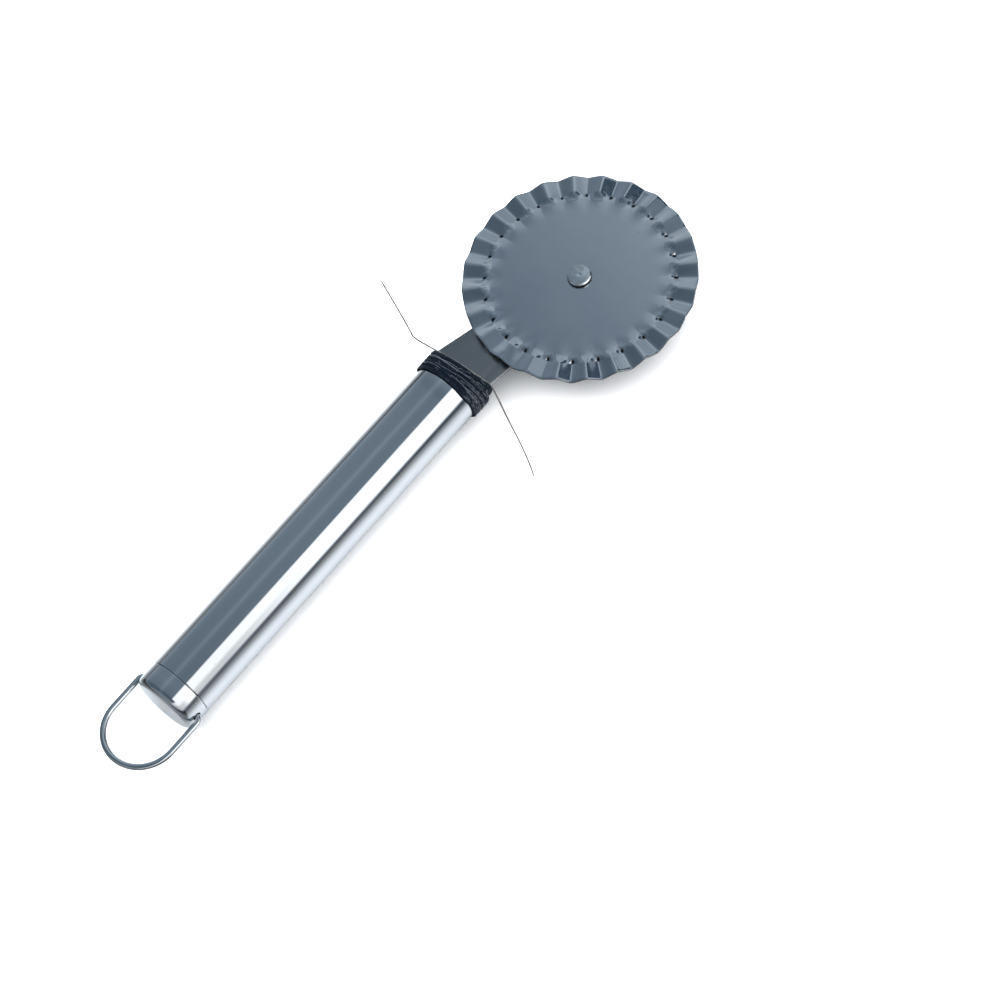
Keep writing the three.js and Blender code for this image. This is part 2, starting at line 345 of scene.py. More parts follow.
def polished_steel():
    """Mirror polish with fine lengthwise marks, faint smears and a few pin specks."""
    def build(graph, shader, place):
        marks = graph.noise(graph.stretched(place, (60, 5200, 5200)), 1.0, 3, 0.6)
        smears = graph.noise(graph.stretched(place, (50, 160, 160)), 1.0, 3, 0.55)
        specks = graph.add("ShaderNodeTexVoronoi", {"Vector": place, "Scale": 330.0}).outputs["Distance"]
        speck = graph.step(specks, 0.05, 0.09, out_low=1.0, out_high=0.0)
        rough = graph.step(smears, 0.35, 0.75, out_low=0.04, out_high=0.11)
        rough = graph.math("ADD", rough, graph.step(marks, 0.45, 0.75, out_low=0.0, out_high=0.035))
        graph.put(shader.inputs["Roughness"], graph.math("ADD", rough, graph.math("MULTIPLY", speck, 0.2)))
        tint = graph.mix(graph.step(smears, 0.3, 0.8), (0.70, 0.735, 0.77), (0.75, 0.78, 0.80))
        dulled = graph.math("MULTIPLY", speck, 0.35)
        graph.put(shader.inputs["Base Color"], graph.mix(dulled, tint, (0.5, 0.54, 0.57)))
        bumped(graph, shader, marks, 0.0000006, 0.4)
    return material("polished_steel", (0.72, 0.75, 0.78), build, Metallic=1.0)


def rivet_steel():
    """A hammered head: blotchy, with small dents and scratches across it."""
    def build(graph, shader, place):
        dents = graph.noise(place, 620.0, 1, 0.4)
        blotches = graph.noise(place, 520.0, 2, 0.5)
        lines = graph.noise(graph.stretched(place, (7000, 600, 600)), 1.0, 1, 0.3)
        scratch = graph.step(lines, 0.66, 0.72)
        rough = graph.step(blotches, 0.35, 0.7, out_low=0.10, out_high=0.24)
        graph.put(shader.inputs["Roughness"], graph.math("ADD", rough, graph.math("MULTIPLY", scratch, 0.12)))
        tint = graph.mix(graph.step(blotches, 0.35, 0.65), (0.86, 0.90, 0.92), (0.64, 0.67, 0.70))
        bright = graph.math("MULTIPLY", scratch, 0.4)
        graph.put(shader.inputs["Base Color"], graph.mix(bright, tint, (0.9, 0.92, 0.93)))
        bumped(graph, shader, dents, 0.00005, 0.4)
    return material("rivet_steel", (0.74, 0.77, 0.80), build, Metallic=1.0)


def wheel_steel():
    """Bright rolled sheet: near mirror, with a soft rolling grain, small stains and scratches.

    A mesh attribute marks where shade is painted into the steel, dark and rougher: the pinched ends
    of the flutes, the ring under the rivet's head and the cut edge.
    """
    def build(graph, shader, place):
        grain = graph.noise(graph.stretched(place, (340, 50, 340)), 1.0, 2, 0.5)
        clouds = graph.noise(place, 70.0, 3, 0.5)
        stains = graph.noise(graph.stretched(place, (520, 760, 300)), 1.0, 2, 0.4)
        stain = graph.math("MULTIPLY", graph.step(stains, 0.70, 0.80), 0.30)
        lines = graph.noise(graph.stretched(place, (240, 5200, 240)), 1.0, 1, 0.3)
        scratch = graph.math("MULTIPLY", graph.step(lines, 0.76, 0.80), graph.step(clouds, 0.5, 0.62))
        # Painted shade: this attribute darkens the colour towards near black and roughens it.
        painted_shade = graph.add("ShaderNodeAttribute", attribute_name="painted_shade").outputs["Fac"]
        rough = graph.step(clouds, 0.3, 0.75, out_low=0.075, out_high=0.13)
        rough = graph.math("ADD", rough, graph.math("MULTIPLY", stain, 0.25))
        rough = graph.math("ADD", rough, graph.math("MULTIPLY", painted_shade, 0.35))
        graph.put(shader.inputs["Roughness"], graph.math("ADD", rough, graph.math("MULTIPLY", scratch, 0.12)))
        tint = graph.mix(graph.step(grain, 0.3, 0.7), (0.693, 0.728, 0.770), (0.708, 0.743, 0.781))
        tint = graph.mix(stain, tint, (0.42, 0.45, 0.47))
        graph.put(shader.inputs["Base Color"], graph.mix(painted_shade, tint, (0.03, 0.035, 0.04)))
        normal = bumped(graph, shader, grain, 0.0000010, 0.3)
        bumped(graph, shader, clouds, 0.00003, 0.25, normal)
    return material("wheel_steel", (0.70, 0.73, 0.77), build, Metallic=1.0)


def arm_steel():
    """Satin rolled sheet, brushed along the arm."""
    def build(graph, shader, place):
        brush = graph.noise(graph.stretched(place, (60, 420, 420)), 1.0, 2, 0.5)
        clouds = graph.noise(place, 120.0, 3, 0.5)
        graph.put(shader.inputs["Roughness"], graph.step(brush, 0.2, 0.8, out_low=0.26, out_high=0.29))
        tint = graph.mix(graph.step(clouds, 0.3, 0.75), (0.385, 0.395, 0.40), (0.415, 0.42, 0.425))
        tint = graph.mix(graph.step(brush, 0.45, 0.9), tint, (0.385, 0.39, 0.395))
        graph.put(shader.inputs["Base Color"], tint)
    return material("arm_steel", (0.40, 0.41, 0.415), build, Metallic=1.0)


def dull_steel(name, dark, light):
    """Dull, dark, streaked steel: for a cut edge, and near black for the painted shade in a gap."""
    def build(graph, shader, place):
        streaks = graph.noise(graph.stretched(place, (1100, 1100, 400)), 1.0, 2, 0.5)
        graph.put(shader.inputs["Roughness"], graph.step(streaks, 0.3, 0.7, out_low=0.42, out_high=0.6))
        graph.put(shader.inputs["Base Color"], graph.mix(streaks, dark, light))
        bumped(graph, shader, streaks, 0.000008, 0.4)
    return material(name, light, build, Metallic=1.0)


def wire_steel():
    """Dull annealed wire with an oxide film."""
    def build(graph, shader, place):
        film = graph.noise(place, 900.0, 4, 0.6)
        tint = graph.mix(graph.step(film, 0.35, 0.7), (0.11, 0.11, 0.106), (0.18, 0.18, 0.173))
        graph.put(shader.inputs["Base Color"], tint)
        graph.put(shader.inputs["Roughness"], graph.step(film, 0.3, 0.7, out_low=0.42, out_high=0.6))
        bumped(graph, shader, film, 0.00001, 0.5)
    return material("wire_steel", (0.145, 0.145, 0.14), build, Metallic=0.5)


def black_cord(name, dark, light):
    """Matt thread: fibres that run with the cord, and paler ones among them for wear and as painted
    highlights.
    """
    def build(graph, shader, place):
        fibres = graph.noise(graph.stretched(place, (5200, 1300, 1300)), 1.0, 4, 0.7)
        wear_and_highlight = graph.noise(graph.stretched(place, (1500, 260, 260)), 1.0, 3, 0.6)
        # Painted highlight: the paler fibres stand for the strands' highlights as well as for wear.
        pale = graph.math("MULTIPLY", graph.step(fibres, 0.5, 0.72), graph.step(wear_and_highlight, 0.42, 0.66))
        graph.put(shader.inputs["Base Color"], graph.mix(pale, dark, light))
        graph.put(shader.inputs["Roughness"], graph.step(fibres, 0.3, 0.7, out_low=0.62, out_high=0.9))
        bumped(graph, shader, fibres, 0.00005, 0.8)
    return material(
        name, dark, build, Specular_IOR_Level=0.16, Specular_Tint=(0.55, 0.78, 1.0, 1.0),
        Sheen_Weight=0.03, Sheen_Roughness=0.5, Sheen_Tint=(0.6, 0.8, 1.0, 1.0),
    )


def black_plastic():
    """Moulded matt plastic with a fine grain."""
    def build(graph, shader, place):
        grain = graph.noise(place, 2600.0, 3, 0.6)
        flow = graph.noise(place, 90.0, 2, 0.5)
        tint = graph.mix(graph.step(flow, 0.3, 0.7), (0.026, 0.026, 0.03), (0.036, 0.036, 0.041))
        graph.put(shader.inputs["Base Color"], tint)
        graph.put(shader.inputs["Roughness"], graph.step(flow, 0.3, 0.7, out_low=0.42, out_high=0.55))
        bumped(graph, shader, grain, 0.00002, 0.5)
    return material("black_plastic", (0.03, 0.03, 0.035), build, Specular_IOR_Level=0.45)


POLISHED = polished_steel()
RIVET = rivet_steel()
WHEEL = wheel_steel()
ARM = arm_steel()
SHEARED = dull_steel("sheared_steel", (0.16, 0.17, 0.18), (0.25, 0.265, 0.275))
# Near-black steel painted into the gap under the rivet's head as its shade.
GAP_SHADE_STEEL = dull_steel("painted_gap_shade", (0.006, 0.008, 0.011), (0.022, 0.028, 0.034))
WIRE = wire_steel()
CORD = black_cord("black_cord", (0.0025, 0.0050, 0.0095), (0.017, 0.027, 0.043))
# A paler thread: wear, and painted highlights on the strands.
HIGHLIT_WORN_CORD = black_cord("black_cord_worn_highlit", (0.022, 0.029, 0.040), (0.11, 0.135, 0.17))
FIBRE = black_cord("black_cord_fibre", (0.12, 0.13, 0.15), (0.28, 0.30, 0.33))
PLASTIC = black_plastic()


# ---------------------------------------------------------------- camera
LENS = 107.8
CAMERA_DISTANCE = 0.8058
CAMERA_AZIMUTH = math.radians(-33.77)
CAMERA_ELEVATION = math.radians(61.75)
CAMERA_ROLL = math.radians(18.06)
CAMERA_AIM = Vector((HUB.x - 0.06527, HUB.y - 0.0258, 0))


def make_camera():
    level = math.cos(CAMERA_ELEVATION)
    back = Vector((
        math.sin(CAMERA_AZIMUTH) * level,
        -math.cos(CAMERA_AZIMUTH) * level,
        math.sin(CAMERA_ELEVATION),
    ))
    plumb = (Vector((0, 0, 1)) - back * back.z).normalized()
    up = math.cos(CAMERA_ROLL) * plumb + math.sin(CAMERA_ROLL) * plumb.cross(back)
    turn = Matrix((up.cross(back), up, back)).transposed().to_4x4()
    camera = bpy.data.objects.new("camera", bpy.data.cameras.new("camera"))
    camera.data.lens = LENS
    camera.data.sensor_width = 36
    camera.data.clip_start = 0.05
    camera.data.clip_end = 50
    camera.matrix_world = Matrix.Translation(CAMERA_AIM + back * CAMERA_DISTANCE) @ turn
    scene.collection.objects.link(camera)
    scene.camera = camera


# ---------------------------------------------------------------- studio
SOFTBOX = 1.45


def make_world():
    """A white studio with a large dark cloth overhead, so that bright steel has something to show.

    `across` is the angle from straight up towards -Y, in degrees: the cloth hangs from the far
    horizon at -90 to the edge of the softbox at 30, and round it at both ends.
    """
    world = bpy.data.worlds.new("studio")
    world.use_nodes = True
    scene.world = world
    graph = Graph(world.node_tree)
    direction = graph.add("ShaderNodeTexCoord").outputs["Generated"]
    axes = graph.add("ShaderNodeSeparateXYZ", {0: direction})
    x, y, z = axes.outputs
    across = graph.math("DEGREES", graph.math("ARCTAN2", graph.math("MULTIPLY", y, -1.0), z))
    along_stops = [(-0.3, 0.070), (-0.15, 0.083), (0.0, 0.105), (0.15, 0.128), (0.27, 0.124), (0.30, 0.102),
                   (0.333, 0.138), (0.36, 0.205), (0.6, 0.23), (0.70, 0.25), (0.78, 0.20), (0.85, 0.185)]
    along = graph.ramp(graph.step(x, -1, 1, "LINEAR"), [((a + 1) / 2, b) for a, b in along_stops])
    across_stops = [(-93, 1.75), (-81, 1.35), (-71, 1.12), (-60, 1.04), (-33, 1.03), (-24, 1.1),
                    (-14, 1.40), (-7, 1.12), (0, 1.03), (6, 1.0), (13, 1.0), (27, 1.03)]
    lengthwise = graph.ramp(graph.step(across, -120, 120, "LINEAR"),
                            [((a + 120) / 240, b / 2) for a, b in across_stops])
    tone = graph.math("MULTIPLY", graph.math("MULTIPLY", along, lengthwise), 2.0)
    far_end = graph.math("MULTIPLY", graph.step(x, 0.80, 0.90), graph.step(y, 0.10, -0.15))
    tone = graph.math("MULTIPLY", tone, graph.math("SUBTRACT", 1.0, graph.math("MULTIPLY", far_end, 0.8)))
    cloth_stops = [
        (0.0, (0, 0, 0)), (0.031, (0.027, 0.040, 0.055)), (0.072, (0.088, 0.122, 0.158)),
        (0.147, (0.204, 0.255, 0.310)), (0.242, (0.336, 0.395, 0.451)), (1.0, (1.3, 1.33, 1.35)),
    ]
    cloth = graph.ramp(tone, cloth_stops)
    horizon = graph.step(across, 80, 89)
    horizon = graph.math("MULTIPLY", horizon, graph.step(across, 91, 93, out_low=1.0, out_high=0.0))
    # Towards the handle's end only the lower part of the softbox runs on.
    low_end = graph.math("MULTIPLY", graph.step(across, 42, 50), graph.step(x, -0.95, -0.86))
    near_end = graph.math("MAXIMUM", graph.step(x, -0.28, -0.10), low_end)
    softbox = graph.math("MULTIPLY", graph.step(across, 29.5, 35.0), near_end)
    softbox = graph.math("MULTIPLY", softbox, graph.step(x, 0.85, 0.72))
    level_stops = [(-0.8, 0.50), (-0.3, 0.80), (0.08, 0.92), (0.17, 1.0), (0.40, 1.0),
                   (0.52, 0.62), (0.85, 0.50)]
    level = graph.ramp(graph.step(x, -1, 1, "LINEAR"), [((a + 1) / 2, b) for a, b in level_stops])
    # Its foot is dimmer on the handle's side.
    foot = graph.math("MULTIPLY", graph.step(across, 56, 72), graph.step(x, 0.16, 0.06))
    dimmed = graph.math("SUBTRACT", 1.0, graph.math("MULTIPLY", foot, 0.4))
    strength = graph.math("MULTIPLY", dimmed, SOFTBOX)
    light = graph.add("ShaderNodeVectorMath", {0: level, "Scale": strength}, operation="SCALE")
    colour = graph.mix(graph.step(x, -0.62, -0.80), cloth, (0.22, 0.25, 0.28))
    colour = graph.mix(softbox, colour, light.outputs[0])
    colour = graph.mix(horizon, colour, (0.12, 0.15, 0.20))
    seen = graph.add("ShaderNodeLightPath").outputs["Is Camera Ray"]
    colour = graph.mix(seen, colour, (1.0, 1.0, 1.0))
    background = graph.add("ShaderNodeBackground", {"Color": colour, "Strength": 1.0})
    graph.add("ShaderNodeOutputWorld", {"Surface": background.outputs[0]})


def make_floor():
    """Plain white paper under the tool, low enough for the loop to swing to its limit over it."""
    swing = joints["loop_swing"]
    reach = swing["pos_m"][0] - loop_low.x
    drop = reach * math.sin(math.radians(swing["range_deg"][1])) + loop_high.z
    bpy.ops.mesh.primitive_plane_add(size=8, location=(0.1, 0, -drop - 0.1 * MM))
    floor = bpy.context.object
    floor.name = "floor"

    def build(graph, shader, place):
        tooth = graph.noise(place, 1400.0, 2, 0.5)
        graph.put(shader.inputs["Base Color"], graph.mix(tooth, (0.93, 0.935, 0.94), (0.95, 0.955, 0.96)))
    paper = material("paper", (0.94, 0.94, 0.94), build, Roughness=0.9, Specular_IOR_Level=0.1)
    floor.data.materials.append(paper)


def unseen(card):
    """A card that only reflections show: it lights, shades and hides nothing."""
    card.visible_camera = False
    card.visible_diffuse = False
    card.visible_shadow = False


def make_flag():
    """A small dark card above the wheel, with a soft edge, for its flutes."""
    place = HUB + Vector((0.126, -0.030, 0.152))
    radius = 0.046
    bpy.ops.mesh.primitive_circle_add(vertices=48, radius=radius, fill_type="NGON", location=place)
    flag = bpy.context.object
    flag.name = "flag"
    flag.rotation_mode = "QUATERNION"
    flag.rotation_quaternion = (place - HUB).to_track_quat("Z", "Y")

    def build(graph, shader, place):
        out = graph.add("ShaderNodeVectorMath", {0: place}, operation="LENGTH").outputs["Value"]
        graph.put(shader.inputs["Alpha"], graph.step(out, radius * 0.72, radius, out_low=1.0, out_high=0.0))
        nap = graph.noise(place, 60.0)
        graph.put(shader.inputs["Base Color"], graph.mix(nap, (0.022, 0.034, 0.048), (0.030, 0.044, 0.060)))
    cloth = material("flag", (0.02, 0.03, 0.04), build, Roughness=1.0, Specular_IOR_Level=0.0)
    flag.data.materials.append(cloth)
    unseen(flag)


def make_carpet():
    """Grey paper just under the tool, for the tube's two lower edges.

    It darkens away from the tool on both sides, ahead of the tube and behind the cap.
    """
    bpy.ops.mesh.primitive_plane_add(size=8, location=(0.1, 0, cord_low.z - 0.015 * MM))
    carpet = bpy.context.object
    carpet.name = "carpet"
    stops = [(-0.20, 0.058), (-0.12, 0.062), (-0.052, 0.155), (-0.032, 0.31), (-0.022, 0.40), (-0.012, 0.45),
             (0.018, 0.62), (0.028, 0.42), (0.050, 0.20), (0.083, 0.10), (0.20, 0.07)]

    def build(graph, shader, place):
        x, y, z = graph.add("ShaderNodeSeparateXYZ", {0: place}).outputs
        grey = graph.ramp(graph.step(y, -0.25, 0.25, "LINEAR"), [((a + 0.25) * 2, b) for a, b in stops])
        behind = graph.step(x, -0.114, -0.094, out_low=0.22, out_high=1.0)
        tint = graph.add("ShaderNodeCombineColor", {"Red": behind, "Green": behind, "Blue": behind})
        grey = graph.mix(1.0, grey, tint.outputs["Color"], "MULTIPLY")
        grey = graph.mix(1.0, grey, (0.97, 1.0, 1.04), "MULTIPLY")
        ahead = graph.step(x, 0.02, 0.06)
        graph.put(shader.inputs["Base Color"], graph.mix(ahead, grey, (0.03, 0.035, 0.04)))
    felt = material("carpet", (0.4, 0.4, 0.4), build, Roughness=1.0, Specular_IOR_Level=0.0)
    carpet.data.materials.append(felt)
    unseen(carpet)


def make_lamp(name, way, distance, width, height, power):
    """A soft rectangular lamp that faces the hub, and that no camera or reflection shows."""
    way = Vector(way).normalized()
    data = bpy.data.lights.new(name, "AREA")
    data.shape = "RECTANGLE"
    data.size = width
    data.size_y = height
    data.energy = power
    lamp = bpy.data.objects.new(name, data)
    lamp.location = HUB + way * distance
    lamp.rotation_mode = "QUATERNION"
    lamp.rotation_quaternion = way.to_track_quat("Z", "Y")
    lamp.visible_camera = False
    lamp.visible_glossy = False
    scene.collection.objects.link(lamp)


# ---------------------------------------------------------------- wheel
FLUTES = 24
FLUTE_DEPTH = 1.5 * MM
FLUTE_PHASE = math.radians(12.8)
SHEET = 0.5 * MM
RIM_EDGE = 0.08 * MM
VALLEY_ROOT = (24.7 * MM, 27.15 * MM)
CREST_ROOT = (25.2 * MM, 27.9 * MM)
LIP_START = 21.5 * MM
PINCH_RADIUS = 26.8 * MM
PINCH_DEPTH = 0.14 * MM


def flute_phase(angle):
    """Flutes are pressed one after another by hand-fed dies, so no two are quite alike."""
    drift = 0.0022 * np.sin(5 * angle + 0.8) + 0.0016 * np.sin(9 * angle + 2.1)
    return FLUTES * (angle + drift)


def flute_wave(angle):
    """From -1 in a sharp valley to 1 on a rounder crest."""
    turn = np.cos(flute_phase(angle))
    sharpness = 0.905 - 0.035 * turn
    return np.arcsin(sharpness * turn) / np.arcsin(sharpness)


def pinch(radius, angle, width=0.36 * MM, length=0.46 * MM):
    """1 in the small hollow that the die's corner leaves where each valley starts."""
    off = np.arccos(-np.cos(flute_phase(angle))) / FLUTES * PINCH_RADIUS
    return np.exp(-(off / width) ** 2 - ((radius - PINCH_RADIUS) / length) ** 2)


def wheel_height(radius, angle):
    """Height of the sheet's middle over the flat disc."""
    wave = flute_wave(angle)
    crest = (wave + 1) / 2
    start = VALLEY_ROOT[0] + (CREST_ROOT[0] - VALLEY_ROOT[0]) * crest
    full = VALLEY_ROOT[1] + (CREST_ROOT[1] - VALLEY_ROOT[1]) * crest
    t = np.clip((radius - start) / (full - start), 0, 1)
    steep = t ** 2.2 * (1 - crest) + t * t * (3 - 2 * t) * crest
    lip = np.clip((radius - LIP_START) / (full - LIP_START), 0, 1) ** 2
    share = 0.22 - 0.07 * crest
    ramp = share * lip + (1 - share) * steep
    uneven = 1 + 0.03 * np.sin(7 * angle + 1.1) + 0.025 * np.sin(13 * angle)
    pressed = FLUTE_DEPTH / 2 * 0.95 * uneven * ramp * wave
    return pressed - PINCH_DEPTH * pinch(radius, angle)


def dies_marks(points):
    """Small uneven places in the pressed rim, as heights."""
    wide = [noise.noise(Vector((x, y, 0)) / (3.4 * MM)) for x, y in points]
    fine = [noise.noise(Vector((x, y, 0)) / (1.5 * MM) + Vector((9, 4, 2))) for x, y in points]
    return (np.array(wide) * 0.035 + np.array(fine) * 0.012) * MM


def make_wheel():
    steps = FLUTES * 48
    flat = [2.2, 3.1, 3.35, 3.6, 4, 6, 10, 15, 19, 21.5, 22.5, 23.5, 24.2, 24.8, 25.2]
    root = list(np.arange(25.4, 28.05, 0.1))
    rim = list(np.linspace(28.2, WHEEL_RADIUS / MM - RIM_EDGE / MM, 8))
    radii = np.array([BORE_RADIUS / MM + 0.05] + flat + root + rim) * MM
    half = SHEET / 2
    profile = [(BORE_RADIUS, half - 0.05 * MM)]
    profile += [(r, half) for r in radii]
    profile += [(WHEEL_RADIUS - 0.02 * MM, half - 0.03 * MM), (WHEEL_RADIUS, half - RIM_EDGE)]
    radius = np.array([p[0] for p in profile])[None, :]
    share = np.arange(steps) / steps
    angle = (2 * math.pi * share + 0.55 * np.sin(2 * math.pi * FLUTES * share) / FLUTES)[:, None]
    x = HUB.x + radius * np.cos(angle + FLUTE_PHASE)
    y = HUB.y + radius * np.sin(angle + FLUTE_PHASE)
    marks = dies_marks(list(zip(x.flat, y.flat))).reshape(x.shape) * smoothstep(radius, 23.5 * MM, 26.5 * MM)
    middle = HUB.z + wheel_height(radius, angle) + marks
    above = np.array([p[1] for p in profile])[None, :]
    top = np.stack([x, y, middle + above], axis=-1)
    under = np.stack([x, y, middle - above], axis=-1)[:, ::-1]
    points = np.concatenate([top, under], axis=1)
    # Painted shade for the mesh attribute: dark in the flutes' pinched hollows and round the rivet, fainter
    # on the underside, and a darker cut edge.
    painted_shade_amount = pinch(radius, angle, 0.40 * MM, 0.56 * MM) * (0.85 + 0.15 * np.sin(5 * angle + 1.3))
    painted_shade_amount = np.maximum(painted_shade_amount, np.clip((3.6 * MM - radius) / (0.5 * MM), 0, 1))
    painted_edge_shade = 0.5 * (radius > WHEEL_RADIUS - 0.01 * MM)
    painted_shade_amount = np.concatenate([np.maximum(painted_shade_amount, painted_edge_shade), np.maximum(painted_shade_amount * 0.3, painted_edge_shade)[:, ::-1]], axis=1)
    rows = points.shape[1]
    faces = []
    for k in range(steps):
        a, b = k * rows, (k + 1) % steps * rows
        for i in range(rows):
            j = (i + 1) % rows
            faces.append((a + i, b + i, b + j, a + j))
    wheel = mesh_object("wheel", points.reshape(-1, 3), faces, sharp=50)
    painted_shade = wheel.data.attributes.new("painted_shade", "FLOAT", "POINT")
    painted_shade.data.foreach_set("value", smoothstep(painted_shade_amount.ravel(), 0.10, 0.42))
    outward(wheel)
    add_piece(wheel, "wheel", WHEEL, "wheel_steel", "cutter_wheel")


# ---------------------------------------------------------------- rivet and washers
def make_rivet():
    """A chamfered front head with a dimple, the pin, and a domed rear head."""
    head_low = rivet_high.z - RIVET_HEAD_HEIGHT
    tail_high = rivet_low.z + RIVET_HEAD_HEIGHT
    corners = [
        (rivet_low.z, 0, 0),
        (rivet_low.z + 0.02 * MM, 1.5 * MM, 1.2 * MM),
        (rivet_low.z + 0.45 * MM, 2.72 * MM, 0.5 * MM),
        (tail_high, 3.0 * MM, 0.1 * MM),
        (tail_high, PIN_RADIUS, 0),
        (head_low, PIN_RADIUS, 0),
        (head_low, RIVET_HEAD_RADIUS - 0.45 * MM, 0.05 * MM),
        (head_low + 0.34 * MM, RIVET_HEAD_RADIUS - 0.4 * MM, 0.04 * MM),
        (head_low + 0.38 * MM, RIVET_HEAD_RADIUS, 0.04 * MM),
        (rivet_high.z - 0.34 * MM, RIVET_HEAD_RADIUS, 0.04 * MM),
        (rivet_high.z - 0.04 * MM, RIVET_HEAD_RADIUS - 0.32 * MM, 0.08 * MM),
        (rivet_high.z, 0.62 * MM, 0.2 * MM),
        (rivet_high.z - 0.09 * MM, 0.3 * MM, 0.1 * MM),
        (rivet_high.z - 0.11 * MM, 0, 0),
    ]
    rivet = turned("rivet", corners, 96, about_hub)
    # Painted shade: the pin's neck and the underside of the front head take the near-black steel.
    for polygon in rivet.data.polygons:
        polygon.material_index = int(head_low - 0.1 * MM < polygon.center.z < head_low + 0.82 * MM)
    add_piece(rivet, "handle", (RIVET, GAP_SHADE_STEEL), "polished_steel", "axle_rivet")


def make_washer(name, node, low, high, radius):
    edge = 0.1 * MM
    corners = [(low, BORE_RADIUS, edge), (low, radius, edge), (high, radius, edge), (high, BORE_RADIUS, edge)]
    washer = turned(name, corners, 80, about_hub, closed=True)
    add_piece(washer, "handle", ARM, "arm_steel", node)


# ---------------------------------------------------------------- arm
ARM_START = 122.4 * MM
ARM_BASE_BOTTOM = -8.2 * MM
ARM_TOP_CORNER = 2.6 * MM
ARM_BOTTOM_CORNER = 1.5 * MM
ARM_END_RADIUS = 6.4 * MM
TANG_WIDTH = 12 * MM
ARM_EDGE = 0.09 * MM


def tangent_angle(corner, side):
    """Where the line from a corner touches the arm's round end, as an angle round the hub."""
    reach = corner - HUB.to_2d()
    return math.atan2(reach.y, reach.x) - side * math.acos(ARM_END_RADIUS / reach.length)


def round_corner(before, corner, after, size, steps=8):
    """A quadratic curve round a corner, `size` back along each side."""
    start = corner + (before - corner).normalized() * size
    end = corner + (after - corner).normalized() * size
    ts = [k / steps for k in range(steps + 1)]
    return [start * (1 - t) ** 2 + corner * 2 * t * (1 - t) + end * t * t for t in ts]


def make_arm():
    hub = HUB.to_2d()
    top = Vector((ARM_START, arm_high.y))
    bottom = Vector((ARM_START, ARM_BASE_BOTTOM))

    def on_end(angle):
        return hub + Vector((math.cos(angle), math.sin(angle))) * ARM_END_RADIUS

    high, low = tangent_angle(top, 1), tangent_angle(bottom, -1)
    if high < low:
        high += 2 * math.pi
    neck = [Vector((ARM_START, side * TANG_WIDTH / 2)) for side in (-1, 1)]
    outline = [Vector((arm_low.x, -TANG_WIDTH / 2)), neck[0]]
    outline += round_corner(neck[0], bottom, on_end(low), ARM_BOTTOM_CORNER)
    outline += [on_end(low + (high - low) * k / 48) for k in range(49)]
    outline += round_corner(on_end(high), top, neck[1], ARM_TOP_CORNER)
    outline += [neck[1], Vector((arm_low.x, TANG_WIDTH / 2))]
    turns = np.linspace(0, 2 * math.pi, 48, False)
    hole = [hub + Vector((math.cos(a), math.sin(a))) * BORE_RADIUS for a in turns]
    curve = bpy.data.curves.new("arm", "CURVE")
    curve.dimensions = "2D"
    curve.fill_mode = "BOTH"
    curve.extrude = (arm_high.z - arm_low.z) / 2 - ARM_EDGE
    curve.bevel_depth = ARM_EDGE
    curve.bevel_resolution = 3
    curve.offset = -ARM_EDGE
    for points in (outline, hole):
        spline = curve.splines.new("POLY")
        spline.points.add(len(points) - 1)
        for target, point in zip(spline.points, points):
            target.co = (point.x, point.y, 0, 1)
        spline.use_cyclic_u = True
    drawn = bpy.data.objects.new("arm_outline", curve)
    scene.collection.objects.link(drawn)
    solved = drawn.evaluated_get(bpy.context.evaluated_depsgraph_get())
    shape = bmesh.new()
    shape.from_mesh(bpy.data.meshes.new_from_object(solved))
    bmesh.ops.remove_doubles(shape, verts=shape.verts, dist=0.002 * MM)
    bmesh.ops.recalc_face_normals(shape, faces=shape.faces)
    mesh = bpy.data.meshes.new("arm")
    shape.to_mesh(mesh)
    shape.free()
    for polygon in mesh.polygons:
        polygon.use_smooth = abs(polygon.normal.z) < 0.99
        polygon.material_index = int(abs(polygon.normal.z) < 0.95)
    mesh.set_sharp_from_angle(angle=math.radians(30))
    bpy.data.objects.remove(drawn)
    arm = bpy.data.objects.new("arm", mesh)
    scene.collection.objects.link(arm)
    add_piece(arm, "handle", (ARM, SHEARED), "arm_steel", "arm_plate")


# ---------------------------------------------------------------- handle
TUBE_WALL = 0.6 * MM


def make_tube():
    """Drawn tube with rounded lips."""
    lip = 0.22 * MM
    inner = TUBE_RADIUS - TUBE_WALL
    corners = [
        (tube_low.x, inner, lip), (tube_low.x, TUBE_RADIUS, lip),
        (tube_high.x - 30 * MM, TUBE_RADIUS, 0), (tube_high.x - 12 * MM, TUBE_RADIUS, 0),
        (tube_high.x, TUBE_RADIUS, lip), (tube_high.x, inner, lip),
    ]
    tube = turned("tube", corners, 256, about_x, closed=True)
    add_piece(tube, "handle", POLISHED, "polished_steel", "handle_tube")


